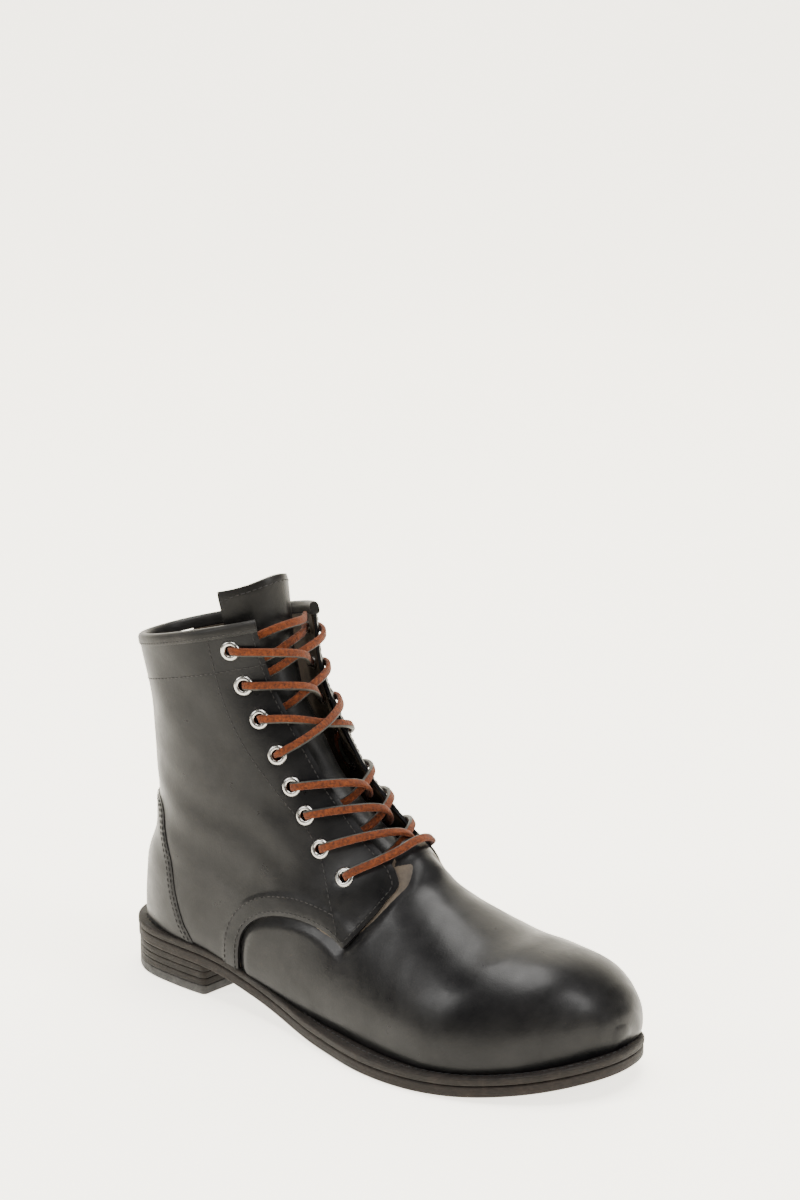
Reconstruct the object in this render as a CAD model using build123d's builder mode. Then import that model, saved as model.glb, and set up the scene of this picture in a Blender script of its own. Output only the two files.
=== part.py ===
"""Plain-toe lace-up ankle boot, right foot, built as separate pieces.

Millimetres.  +X runs from heel to toe, +Y towards the wearer's left (the inner
side of a right foot), +Z up.  The origin is the centre of the heel's bottom face.
"""
import os
from math import asin, cos, degrees, pi, radians, sin, tan

from build123d import *

# ---------------------------------------------------------------- driving sizes
HEEL_BACK_X = -36.0
BREAST_X = 32.0
HEEL_HEIGHT = 16.0
OUTSOLE_THICK = 6.0
WELT_THICK = 4.0
SEAT_TOP = HEEL_HEIGHT + OUTSOLE_THICK + WELT_THICK
TOP_PIECE_THICK = 5.0
LIFT_COUNT = 3
WELT_WIDTH = 15.0
LEATHER = 2.2
LINING = 1.3
TONGUE_THICK = 2.6
INSOLE_THICK = 3.0
SOCK_THICK = 1.2
INNER = LEATHER + LINING
EYELET_COUNT = 8
EYELET_SETBACK = 9.5
EYELET_FLANGE_R = 5.0
EYELET_BARREL_R = 3.3
EYELET_BORE_R = 2.6
FLANGE_THICK = 0.9
LACE_DIAMETER = 3.0

# Welt outline in plan, outer (lateral) side then inner (medial) side.
WELT_OUTLINE = [
    (HEEL_BACK_X, 0), (-31, -19), (-14, -33), (14, -37.5), (50, -38), (86, -42.5),
    (122, -52), (158, -60), (190, -60), (220, -51), (246, -33), (261, -10),
    (264, 12), (256, 34), (236, 49), (208, 56), (176, 54), (140, 43), (104, 33),
    (66, 31.5), (30, 36), (-6, 36), (-29, 21),
]

# Height of the welt's upper face along the boot: flat heel seat, arch, ball, toe spring.
SEAT_LINE = [
    (-60, SEAT_TOP), (0, SEAT_TOP), (32, 25.2), (66, 19.6), (104, 12.6), (140, 10.2),
    (176, 10.0), (208, 11.2), (236, 14.6), (264, 20.0), (290, 26.0),
]

# Cross sections of the upper, from above the collar, round the instep, to the toe.
# Each row: top point x, z; bottom point x, z; outer and inner half widths; place of
# the widest point from top to bottom; forward share of an inset at the toe.
SECTIONS = [
    (60, 236, -41, 208, 36, 36, 0.50, 0.0),
    (64, 200, -33, 173, 36, 36, 0.50, 0.0),
    (71, 165, -25, 140, 35, 35, 0.52, 0.0),
    (98, 129, -22, 82, 34, 34, 0.60, 0.0),
    (116, 114, -30, 52, 35, 35, 0.64, 0.0),
    (132, 104, -27, 10, 37, 36, 0.64, 0.0),
    (146, 95, 10, 0, 39, 36, 0.62, 0.0),
    (160, 80, 60, -6, 42, 36, 0.62, 0.0),
    (196, 66.5, 160, -12, 54, 49, 0.64, 0.0),
    (216, 63.5, 200, -11, 53, 51, 0.64, 0.1),
    (236, 59, 230, -6, 42, 46, 0.62, 0.4),
    (249, 49, 247, 3, 27, 35, 0.60, 0.7),
    (256, 38, 255, 12, 13, 22, 0.55, 0.9),
    (258.5, 31, 258.5, 20, 4, 10, 0.50, 1.0),
]
SECTION_POINTS = 20
ROUNDNESS = 0.92
TOE_SWING = 10.0
TOE_SWING_FROM = 190.0

# Half width of the throat between the two quarters, by height.
THROAT = [(70, 20.0), (88, 17.0), (108, 15.0), (130, 15.0), (160, 17.5), (190, 21.5), (235, 26.0)]


def smooth(rows, place, column):
    """Catmull-Rom value of one column of rows at a fractional row number."""
    place = min(max(place, 0.0), len(rows) - 1.0)
    i = min(int(place), len(rows) - 2)
    f = place - i
    a = rows[max(i - 1, 0)][column]
    b = rows[i][column]
    c = rows[i + 1][column]
    d = rows[min(i + 2, len(rows) - 1)][column]
    return b + 0.5 * f * (c - a + f * (2 * a - 5 * b + 4 * c - d + f * (3 * (b - c) + d - a)))


def along(rows, x):
    """Value of a two-column line at x, smooth between its points."""
    for i in range(len(rows) - 1):
        if x <= rows[i + 1][0] or i == len(rows) - 2:
            return smooth(rows, i + (x - rows[i][0]) / (rows[i + 1][0] - rows[i][0]), 1)


def toe_axis(x):
    """Sideways place of the upper's crest line, which swings inward at the toe."""
    return TOE_SWING * (max(0.0, x - TOE_SWING_FROM) / (SECTIONS[-1][0] - TOE_SWING_FROM)) ** 2


def station(place, inset):
    """Plane, upper and lower depth and the two half widths of one section."""
    xa, za, xb, zb, outer, inner, widest, forward = [smooth(SECTIONS, place, c) for c in range(8)]
    depth = ((xb - xa) ** 2 + (zb - za) ** 2) ** 0.5
    direction = Vector((xb - xa) / depth, 0, (zb - za) / depth)
    top = Vector(xa - inset * forward, toe_axis(xa), za)
    upper = widest * depth
    lower = depth - upper
    return top, direction, upper, lower, outer, inner, inset


def section_point(place, angle, inset=0.0):
    """Point of the upper's surface; angle 0 is the top, 90 outer side, 270 inner side."""
    top, direction, upper, lower, outer, inner, _ = station(place, inset)
    c = cos(radians(angle))
    s = sin(radians(angle))
    reach = upper if c > 0 else lower
    width = outer if s > 0 else inner
    reach_in = reach - inset * min(1.0, reach / 20)
    width_in = width - inset * min(1.0, width / 30)
    down = upper - (1 if c > 0 else -1) * reach_in * abs(c) ** ROUNDNESS
    side = -(1 if s > 0 else -1) * width_in * abs(s) ** ROUNDNESS
    return top + direction * down + Vector(0, side, 0)


def upper_solid(inset, places=range(len(SECTIONS))):
    """Closed solid bounded by the upper's surface, set in by inset, between given stations."""
    with BuildPart() as body:
        for row in places:
            top, direction, *_ = station(row, inset)
            plane = Plane(origin=top, x_dir=direction, z_dir=Vector(-direction.Z, 0, direction.X))
            angles = [360 * k / SECTION_POINTS for k in range(SECTION_POINTS)]
            ring = [plane.to_local_coords(section_point(row, angle, inset)) for angle in angles]
            with BuildSketch(plane):
                with BuildLine():
                    Spline([(point.X, point.Y) for point in ring], periodic=True)
                make_face()
        loft()
    return body.part


def surface_frame(place, across):
    """Surface point at a signed distance across the boot, with its outward normal."""
    _, _, upper, _, outer, inner, _ = station(place, 0)
    width = outer if across < 0 else inner
    angle = degrees(asin(min(1.0, abs(across) / width) ** (1 / ROUNDNESS)))
    angle = angle if across < 0 else 360 - angle
    point = section_point(place, angle)
    round_way = section_point(place, angle + 1) - section_point(place, angle - 1)
    long_way = section_point(place + 0.05, angle) - section_point(place - 0.05, angle)
    return point, round_way.cross(long_way).normalized()


def throat_half(z):
    """Half width of the throat at a height."""
    return along(THROAT, z)


def side_prism(points, smooth_from=0, smooth_to=0, low=-90, high=90):
    """Side-view outline run across the boot; points smooth_from..smooth_to lie on one curve."""
    with BuildPart() as prism:
        with BuildSketch(Plane.XZ.offset(-high)):
            with BuildLine():
                if smooth_to > smooth_from:
                    Spline(points[smooth_from:smooth_to + 1])
                    Polyline(points[smooth_to:] + points[:smooth_from + 1])
                else:
                    Polyline(points, close=True)
            make_face()
        extrude(amount=high - low)
    return prism.part


def sole_layer(low, high):
    """Layer that follows the seat line between two offsets from it."""
    bottom = [(x, z + low) for x, z in SEAT_LINE]
    top = [(x, z + high) for x, z in SEAT_LINE]
    with BuildPart() as layer:
        with BuildSketch(Plane.XZ.offset(-90)):
            with BuildLine():
                Spline(bottom)
                Line(bottom[-1], top[-1])
                Spline(top)
                Line(top[0], bottom[0])
            make_face()
        extrude(amount=180)
    return layer.part


def plan_column(inset, low=-5.0, high=60.0):
    """Upright column inside the welt outline, set in by inset."""
    outline = []
    count = len(WELT_OUTLINE)
    for i, (x, y) in enumerate(WELT_OUTLINE):
        before = WELT_OUTLINE[i - 1]
        after = WELT_OUTLINE[(i + 1) % count]
        run = Vector(after[0] - before[0], after[1] - before[1]).normalized()
        outline.append((x - inset * run.Y, y + inset * run.X))
    with BuildPart() as column:
        with BuildSketch(Plane.XY.offset(low)):
            with BuildLine():
                Spline(outline, periodic=True)
            make_face()
        extrude(amount=high - low)
    return column.part


def common(*solids):
    """Intersection of solids."""
    with BuildPart() as result:
        add(solids[0])
        for solid in solids[1:]:
            add(solid, mode=Mode.INTERSECT)
    return result.part


def without(solid, *cutters):
    """A solid with others taken away."""
    with BuildPart() as result:
        add(solid)
        for cutter in cutters:
            add(cutter, mode=Mode.SUBTRACT)
    return result.part


def save(part, name):
    """Label a finished piece and write its file."""
    part.label = name
    export_step(part, f"parts/{name}.step")


os.makedirs("parts", exist_ok=True)

# ------------------------------------------------------------------ shared zones
FAR = 400.0
COLLAR_BACK = (-60.0, 165.5)
COLLAR_FRONT = (130.0, 218.3)
BINDING_HEIGHT = 6.0


def collar_zone(drop):
    """Everything below the slanting collar line, lowered by drop."""
    back_x, back_z = COLLAR_BACK
    front_x, front_z = COLLAR_FRONT
    return side_prism([(back_x, back_z - drop), (front_x, front_z - drop),
                       (FAR, front_z - drop), (FAR, -50), (back_x, -50)])


above_seat = sole_layer(0, 230)
with BuildPart() as throat_cut:
    with BuildSketch(Plane.YZ):
        with BuildLine():
            Spline([(-half, z) for z, half in THROAT])
            Line((-THROAT[-1][1], THROAT[-1][0]), (THROAT[-1][1], THROAT[-1][0]))
            Spline([(half, z) for z, half in reversed(THROAT)])
            Line((THROAT[0][1], THROAT[0][0]), (-THROAT[0][1], THROAT[0][0]))
        make_face()
    extrude(amount=200)
throat = common(throat_cut.part, side_prism([(20, 240), (20, 150), (60, 100), (100, 60),
                                             (200, 60), (200, 240)]))

VAMP_EDGE = [(57, 10), (57, 26), (60, 42), (72, 52.5), (92, 57), (112, 55.5), (127, 50)]
FRONT_EDGE = [(127, 50), (139, 68), (146, 82)]
quarter_front = side_prism(
    VAMP_EDGE + FRONT_EDGE[1:] + [(147, 120), (147, 260), (-80, 260), (-80, 10)],
    0, len(VAMP_EDGE) - 1)
COUNTER_EDGE = [(-80, 97), (-34, 96), (-8, 93), (0, 80), (7, 66), (11, 50), (17, 36), (25, 24), (27, 10)]
counter_zone = side_prism(COUNTER_EDGE + [(-80, 10)], 1, len(COUNTER_EDGE) - 1)
FACING_EDGE = [(30, 215), (34, 188), (42, 160), (54, 137), (74, 115), (98, 94), (118, 62), (121, 40)]
facing_zone = side_prism(FACING_EDGE + [(220, 40), (220, 215)], 0, len(FACING_EDGE) - 1)
VAMP_THROAT_X = 138.0
vamp_throat = side_prism([(VAMP_THROAT_X, 40), (VAMP_THROAT_X, 140), (FAR, 140), (FAR, 40)])
outer_side = side_prism([(-90, -20), (-90, 260), (FAR, 260), (FAR, -20)], low=-90, high=0)
inner_side = side_prism([(-90, -20), (-90, 260), (FAR, 260), (FAR, -20)], low=0, high=90)

# ----------------------------------------------------------------- upper leather
STIFFENER_THICK = 0.8
skin = upper_solid(0)
under_leather = upper_solid(LEATHER)
under_stiffener = upper_solid(LEATHER + STIFFENER_THICK)
cavity = upper_solid(INNER)

upper_zone = common(above_seat, collar_zone(BINDING_HEIGHT))
leather_shell = without(common(skin, upper_zone), under_leather)
lining_shell = without(common(under_leather, upper_zone), cavity)
stiff_shell = without(common(under_leather, upper_zone), under_stiffener)

vamp_forward = without(leather_shell, quarter_front)
vamp_middle = common(leather_shell, quarter_front, throat, vamp_throat)
with BuildPart() as vamp:
    add(vamp_forward)
    add(vamp_middle)
save(vamp.part, "vamp")

TOE_PUFF_X = 222.0
puff_zone = side_prism([(TOE_PUFF_X, -20), (TOE_PUFF_X, 120), (FAR, 120), (FAR, -20)])
toe_puff = common(stiff_shell, puff_zone)
save(toe_puff, "toe_puff")
heel_counter_cover = common(leather_shell, counter_zone)
save(heel_counter_cover, "heel_counter_cover")
STIFFENER_EDGE = [(-80, 84), (-30, 84), (-8, 80), (4, 60), (14, 40), (20, 10)]
stiffener_zone = side_prism(STIFFENER_EDGE + [(-80, 10)])
heel_counter_stiffener = common(stiff_shell, stiffener_zone)
save(heel_counter_stiffener, "heel_counter_stiffener")

lining_front = without(lining_shell, quarter_front, toe_puff)
lining_middle = common(lining_shell, quarter_front, throat, vamp_throat)
with BuildPart() as vamp_lining:
    add(lining_front)
    add(lining_middle)
save(vamp_lining.part, "vamp_lining")

BINDING_STATIONS = (1.0, 1.15)
binding_outside = upper_solid(-0.6, BINDING_STATIONS)
binding_inside = upper_solid(INNER, (0.9, 1.3))
save(without(binding_outside, binding_inside, throat), "collar_binding")

# ----------------------------------------------------------------------- eyelets
EYELET_STATIONS = [1.36, 1.87, 2.28, 2.67, 3.10, 3.84, 4.72, 5.72]


def lacing_seat(level, across):
    """Surface point and normal on the lacing: level 0 is the top pair, across is -1 at
    the outer row of eyelets, 0 on the crest and 1 at the inner row."""
    i = min(int(max(level, 0)), EYELET_COUNT - 2)
    place = EYELET_STATIONS[i] + (level - i) * (EYELET_STATIONS[i + 1] - EYELET_STATIONS[i])
    height = section_point(place, 0).Z
    for _ in range(4):
        point, normal = surface_frame(place, across * (throat_half(height) + EYELET_SETBACK))
        height = point.Z
    return point, normal


FLANGE_SINK = 0.4
FLANGE_CLEARANCE = 0.15
for side, side_name, half in ((-1, "lateral", outer_side), (1, "medial", inner_side)):
    with BuildPart() as eyelets:
        for level in range(EYELET_COUNT):
            point, normal = lacing_seat(level, side)
            with BuildSketch(Plane(origin=point - normal * (INNER + 0.4), z_dir=normal)):
                Circle(EYELET_BARREL_R)
                Circle(EYELET_BORE_R, mode=Mode.SUBTRACT)
            extrude(amount=INNER + 0.4 - FLANGE_SINK)
            with BuildSketch(Plane(origin=point - normal * FLANGE_SINK, z_dir=normal)):
                Circle(EYELET_FLANGE_R)
                Circle(EYELET_BORE_R, mode=Mode.SUBTRACT)
            extrude(amount=FLANGE_THICK)
    save(eyelets.part, f"eyelets_{side_name}")

    with BuildPart() as holes:
        for level in range(EYELET_COUNT):
            point, normal = lacing_seat(level, side)
            with BuildSketch(Plane(origin=point - normal * 8, z_dir=normal)):
                Circle(EYELET_BARREL_R)
            extrude(amount=14)
            with BuildSketch(Plane(origin=point - normal * FLANGE_SINK, z_dir=normal)):
                Circle(EYELET_FLANGE_R + FLANGE_CLEARANCE)
            extrude(amount=6)
    quarter_zone = common(upper_zone, quarter_front, half)
    quarter = without(common(quarter_zone, skin), under_leather)
    save(without(quarter, throat, counter_zone, holes.part), f"quarter_{side_name}")
    lining_half = without(common(quarter_zone, under_leather), cavity, throat)
    save(without(common(lining_half, facing_zone), holes.part), f"eyestay_facing_{side_name}")
    quarter_lining = without(lining_half, facing_zone, holes.part, heel_counter_stiffener)
    save(quarter_lining, f"quarter_lining_{side_name}")

# ------------------------------------------------------------------------ tongue
TONGUE_HALF = 26.0
TONGUE_GAP = 8.6
tongue_zone = side_prism([(22, 235), (34, 190), (44, 150), (70, 112), (98, 82), (120, 60), (150, 60),
                          (150, 110), (130, 150), (110, 235)])
with BuildPart() as tongue_front:
    with BuildSketch(Plane.YZ):
        with BuildLine():
            Polyline((-TONGUE_HALF, 204), (-TONGUE_HALF, 55), (TONGUE_HALF, 55), (TONGUE_HALF, 204))
            ThreePointArc((TONGUE_HALF, 204), (0, 215), (-TONGUE_HALF, 204))
        make_face()
    extrude(amount=200)
tongue_block = common(tongue_zone, tongue_front.part, upper_solid(INNER + TONGUE_GAP))
save(without(tongue_block, upper_solid(INNER + TONGUE_GAP + TONGUE_THICK)), "tongue")

# -------------------------------------------------------------- insole and layers
foot_room = upper_solid(INNER + 0.1)
save(common(foot_room, sole_layer(0, INSOLE_THICK)), "insole")
save(common(foot_room, sole_layer(INSOLE_THICK, INSOLE_THICK + SOCK_THICK)), "sock_liner")

outsole_low = -(WELT_THICK + OUTSOLE_THICK)
welt_outline = plan_column(0)
outsole = common(welt_outline, sole_layer(outsole_low, -WELT_THICK))
save(outsole, "outsole")
filler_column = plan_column(WELT_WIDTH)
save(without(common(welt_outline, sole_layer(-WELT_THICK, 0)), filler_column), "welt")

SHANK_HALF = 7.0
SHANK_FROM = 12.0
SHANK_TO = 122.0
with BuildPart() as shank_strip:
    with BuildSketch(Plane.XY.offset(-5)):
        with Locations(((SHANK_FROM + SHANK_TO) / 2, 0)):
            SlotOverall(SHANK_TO - SHANK_FROM, 2 * SHANK_HALF)
    extrude(amount=60)
steel_shank = common(shank_strip.part, sole_layer(-3.0, -1.4))
save(steel_shank, "steel_shank")
save(without(common(filler_column, sole_layer(-WELT_THICK, 0)), steel_shank), "cork_filler")

# -------------------------------------------------------------------------- heel
NAIL_R = 1.1
NAIL_PLACES = [(-26, 0), (-18, -20), (-18, 20), (2, -28), (2, 28), (22, -26), (22, 26)]
heel_column = common(plan_column(0.8), side_prism([(-90, -10), (-90, HEEL_HEIGHT),
                                                   (BREAST_X, HEEL_HEIGHT), (BREAST_X - 1.5, -10)]))
with BuildPart() as heel_nails:
    with BuildSketch(Plane.XY.offset(TOP_PIECE_THICK)):
        with Locations(*NAIL_PLACES):
            Circle(NAIL_R)
    extrude(amount=HEEL_HEIGHT - TOP_PIECE_THICK - 1.2)
save(heel_nails.part, "heel_nails")


def heel_slice(low, high):
    """Part of the heel block between two heights."""
    return common(heel_column, side_prism([(-90, low), (-90, high), (60, high), (60, low)]))


save(heel_slice(0, TOP_PIECE_THICK), "heel_top_piece")
lift_thick = (HEEL_HEIGHT - TOP_PIECE_THICK) / LIFT_COUNT
for number in range(LIFT_COUNT):
    low = TOP_PIECE_THICK + number * lift_thick
    heel_lift = without(heel_slice(low, low + lift_thick), heel_nails.part, outsole)
    save(heel_lift, f"heel_lift_{number + 1}")

# -------------------------------------------------------------------------- lace
# One lace, threaded through all sixteen eyelets, as (level, across, lift): lift is the
# distance outside the leather, so +3 runs over a quarter's edge and -6 runs under it.
LACE_ROUTE = [
    (-0.35, 0.80, -5.9), (-0.30, 0.45, -5.2), (-0.35, 0.05, -3.9), (-0.30, -0.45, -5.4),
    (0.00, -1.00, -5.8), (0.00, -1.00, 3.2), (0.20, -0.60, 4.4), (0.50, 0.00, 1.4),
    (0.80, 0.55, -6.0), (1.00, 1.00, -5.8), (1.00, 1.00, 3.2), (1.20, 0.60, 3.5),
    (1.50, 0.00, -2.6), (1.80, -0.55, -6.0), (2.00, -1.00, -5.8), (2.00, -1.00, 3.2),
    (2.20, -0.60, 3.5), (2.50, 0.00, -1.8), (2.80, 0.60, 3.5), (3.00, 1.00, 3.2),
    (3.00, 1.00, -5.8), (4.00, 1.00, -5.8), (4.00, 1.00, 3.2), (4.20, 0.60, 3.5),
    (4.50, 0.00, -2.6), (4.80, -0.55, -6.0), (5.00, -1.00, -5.8), (5.00, -1.00, 3.2),
    (5.20, -0.60, 3.5), (5.50, 0.00, 1.4), (5.80, 0.55, -6.0), (6.00, 1.00, -5.8),
    (6.00, 1.00, 3.2), (6.20, 0.60, 3.5), (6.50, 0.00, -2.6), (6.80, -0.55, -6.0),
    (7.00, -1.00, -5.8), (7.00, -1.00, 3.2), (7.10, -0.55, 3.4), (6.95, 0.00, 4.2),
    (7.10, 0.55, 3.4), (7.00, 1.00, 3.2), (7.00, 1.00, -5.8), (6.80, 0.55, -6.0),
    (6.50, 0.00, 1.4), (6.20, -0.60, 3.5), (6.00, -1.00, 3.2), (6.00, -1.00, -5.8),
    (5.80, -0.55, -6.0), (5.50, 0.00, -2.6), (5.20, 0.60, 3.5), (5.00, 1.00, 3.2),
    (5.00, 1.00, -5.8), (4.80, 0.55, -6.0), (4.50, 0.00, 1.4), (4.20, -0.60, 3.5),
    (4.00, -1.00, 3.2), (4.00, -1.00, -5.8), (3.00, -1.00, -5.8), (3.00, -1.00, 3.2),
    (2.80, -0.60, 3.5), (2.50, 0.00, 2.6), (2.20, 0.60, 3.4), (2.00, 1.00, 3.2),
    (2.00, 1.00, -5.8), (1.80, 0.55, -6.0), (1.50, 0.00, 1.4), (1.20, -0.60, 3.5),
    (1.00, -1.00, 3.2), (1.00, -1.00, -5.8), (0.80, -0.55, -6.0), (0.50, 0.00, -2.6),
    (0.20, 0.60, 4.4), (0.00, 1.00, 3.2), (0.00, 1.00, -5.8), (0.05, 0.55, -6.2),
    (0.15, 0.00, -5.6), (0.40, -0.50, -6.2), (0.50, -0.85, -5.8),
]
BEND_SHARE = 0.45


def lace_point(level, across, lift):
    """Place in space of one point of the lace's route."""
    point, normal = lacing_seat(level, across)
    return point + normal * lift


route = [lace_point(*row) for row in LACE_ROUTE]
runs = [after - before for before, after in zip(route, route[1:])]
radii = []
for before, after in zip(runs, runs[1:]):
    turn = radians(before.get_angle(after))
    radii.append(BEND_SHARE * min(before.length, after.length) / tan(turn / 2))
print("lace radii", [round(radius, 1) for radius in radii])
with BuildPart() as lace:
    with BuildLine() as lace_path:
        FilletPolyline(*route, radius=radii)
    with BuildSketch(Plane(origin=route[0], z_dir=runs[0])):
        Circle(LACE_DIAMETER / 2)
    sweep(path=lace_path.line)
length = lace_path.wires()[0].length
tube_volume = pi * length * LACE_DIAMETER ** 2 / 4
print("lace length", round(length, 1), "volume ratio", round(lace.part.volume / tube_volume, 4))
save(lace.part, "lace")
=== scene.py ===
"""Looks of a lace-up ankle boot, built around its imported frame.  Blender works in metres;
the boot's own shape is worked out in millimetres, as in the frame, and scaled at the end."""
import math

import bpy
import numpy as np
from mathutils import Matrix, Vector


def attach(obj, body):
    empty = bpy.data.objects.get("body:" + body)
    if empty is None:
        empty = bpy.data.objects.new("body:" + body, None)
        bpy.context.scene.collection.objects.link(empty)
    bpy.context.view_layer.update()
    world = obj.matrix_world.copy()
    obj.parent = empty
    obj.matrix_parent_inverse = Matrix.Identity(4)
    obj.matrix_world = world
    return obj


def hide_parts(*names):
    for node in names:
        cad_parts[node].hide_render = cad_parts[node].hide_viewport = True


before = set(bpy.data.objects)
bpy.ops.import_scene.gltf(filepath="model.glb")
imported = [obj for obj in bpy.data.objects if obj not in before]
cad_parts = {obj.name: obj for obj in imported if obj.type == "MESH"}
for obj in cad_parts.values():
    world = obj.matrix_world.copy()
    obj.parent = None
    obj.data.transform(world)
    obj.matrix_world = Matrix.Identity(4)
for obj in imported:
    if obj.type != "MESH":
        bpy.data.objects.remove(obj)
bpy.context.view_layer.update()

MM = 0.001

# ------------------------------------------------------------------- boot's shape
HEEL_BACK_X = -36.0
BREAST_X = 32.0
HEEL_HEIGHT = 16.0
SEAT_TOP = 26.0
TOP_PIECE_THICK = 5.0
INNER = 3.5
TONGUE_GAP = 8.6
TONGUE_THICK = 2.6
EYELET_SETBACK = 9.5
WELT_OUTLINE = [
    (HEEL_BACK_X, 0), (-31, -19), (-14, -33), (14, -37.5), (50, -38), (86, -42.5),
    (122, -52), (158, -60), (190, -60), (220, -51), (246, -33), (261, -10),
    (264, 12), (256, 34), (236, 49), (208, 56), (176, 54), (140, 43), (104, 33),
    (66, 31.5), (30, 36), (-6, 36), (-29, 21),
]
SEAT_LINE = [
    (-60, SEAT_TOP), (0, SEAT_TOP), (32, 25.2), (66, 19.6), (104, 12.6), (140, 10.2),
    (176, 10.0), (208, 11.2), (236, 14.6), (264, 20.0), (290, 26.0),
]
SECTIONS = np.array([
    (60, 236, -41, 208, 36, 36, 0.50, 0.0),
    (64, 200, -33, 173, 36, 36, 0.50, 0.0),
    (71, 165, -25, 140, 35, 35, 0.52, 0.0),
    (98, 129, -22, 82, 34, 34, 0.60, 0.0),
    (116, 114, -30, 52, 35, 35, 0.64, 0.0),
    (132, 104, -27, 10, 37, 36, 0.64, 0.0),
    (146, 95, 10, 0, 39, 36, 0.62, 0.0),
    (160, 80, 60, -6, 42, 36, 0.62, 0.0),
    (196, 66.5, 160, -12, 54, 49, 0.64, 0.0),
    (216, 63.5, 200, -11, 53, 51, 0.64, 0.1),
    (236, 59, 230, -6, 42, 46, 0.62, 0.4),
    (249, 49, 247, 3, 27, 35, 0.60, 0.7),
    (256, 38, 255, 12, 13, 22, 0.55, 0.9),
    (258.5, 31, 258.5, 20, 4, 10, 0.50, 1.0),
])
ROUNDNESS = 0.92
TOE_SWING = 10.0
TOE_SWING_FROM = 190.0
THROAT = [
    (70, 20.0), (88, 17.0), (108, 15.0), (130, 15.0), (160, 17.5), (190, 21.5), (235, 26.0),
]
EYELET_STATIONS = [1.36, 1.87, 2.28, 2.67, 3.10, 3.84, 4.72, 5.72]
COLLAR_BACK = (-60.0, 165.5)
COLLAR_FRONT = (130.0, 218.3)
VAMP_EDGE = [(57, 10), (57, 26), (60, 42), (72, 52.5), (92, 57), (112, 55.5), (127, 50)]
FRONT_EDGE = [(127, 50), (139, 68), (146, 82), (147, 120)]
COUNTER_EDGE = [(-34, 96), (-8, 93), (0, 80), (7, 66), (11, 50), (17, 36), (25, 24), (27, 10)]
FACING_EDGE = [
    (30, 215), (34, 188), (42, 160), (54, 137), (74, 115), (98, 94), (118, 62), (124, 50),
]
VAMP_THROAT_X = 138.0


def smooth_rows(rows, place):
    """Catmull-Rom values of every column of rows at fractional row numbers."""
    rows = np.asarray(rows, float)
    place = np.clip(np.asarray(place, float), 0, len(rows) - 1)
    i = np.minimum(place.astype(int), len(rows) - 2)
    f = (place - i)[..., None]
    a = rows[np.maximum(i - 1, 0)]
    b = rows[i]
    c = rows[i + 1]
    d = rows[np.minimum(i + 2, len(rows) - 1)]
    return b + 0.5 * f * (c - a + f * (2 * a - 5 * b + 4 * c - d + f * (3 * (b - c) + d - a)))


def along(rows, x):
    """Value of a two-column line at x."""
    rows = np.asarray(rows, float)
    place = np.interp(x, rows[:, 0], np.arange(len(rows)))
    return smooth_rows(rows, place)[..., 1]


def dense(points, steps=12):
    """Points along the smooth curve through a few given ones."""
    return smooth_rows(points, np.linspace(0, len(points) - 1, (len(points) - 1) * steps + 1))


def surface(place, angle, inset=0.0):
    """Points of the upper's outer face; angle 0 is the crest, 90 the outer side."""
    row = smooth_rows(SECTIONS, place)
    xa, za, xb, zb, outer, inner, widest, forward = np.moveaxis(row, -1, 0)
    depth = np.hypot(xb - xa, zb - za)
    c = np.cos(np.radians(angle))
    s = np.sin(np.radians(angle))
    upper = widest * depth
    reach = np.where(c > 0, upper, depth - upper)
    width = np.where(s > 0, outer, inner)
    reach_in = reach - inset * np.minimum(1, reach / 20)
    width_in = width - inset * np.minimum(1, width / 30)
    down = upper - np.sign(c) * reach_in * np.abs(c) ** ROUNDNESS
    past = np.maximum(0, xa - TOE_SWING_FROM) / (SECTIONS[-1][0] - TOE_SWING_FROM)
    swing = TOE_SWING * past ** 2
    side = swing - np.sign(s) * width_in * np.abs(s) ** ROUNDNESS
    x = xa - inset * forward + down * (xb - xa) / depth
    z = za + down * (zb - za) / depth
    return np.stack(np.broadcast_arrays(x, side, z), -1)


def lacing_seat(level, across):
    """Surface point and normal; level 0 is the top pair, across -1 the outer eyelets."""
    i = min(int(max(level, 0)), len(EYELET_STATIONS) - 2)
    place = EYELET_STATIONS[i] + (level - i) * (EYELET_STATIONS[i + 1] - EYELET_STATIONS[i])
    height = surface(place, 0)[2]
    for _ in range(4):
        y = across * (along(THROAT, height) + EYELET_SETBACK)
        row = smooth_rows(SECTIONS, place)
        width = row[4] if y < 0 else row[5]
        angle = math.degrees(math.asin(min(1, abs(y) / width) ** (1 / ROUNDNESS)))
        angle = angle if y < 0 else 360 - angle
        point = surface(place, angle)
        height = point[2]
    round_way = surface(place, angle + 1) - surface(place, angle - 1)
    long_way = surface(place + 0.05, angle) - surface(place - 0.05, angle)
    normal = np.cross(round_way, long_way)
    return point, normal / np.linalg.norm(normal)


# ------------------------------------------------------------------------- camera
CAMERA_AZIMUTH = 41.8
CAMERA_ELEVATION = 19.8
CAMERA_TARGET = (0.100, 0.0, 0.080)
CAMERA_DISTANCE = 1.865
CAMERA_LENS = 75.8
CAMERA_SHIFT = (0.0384, 0.2152)


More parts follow.
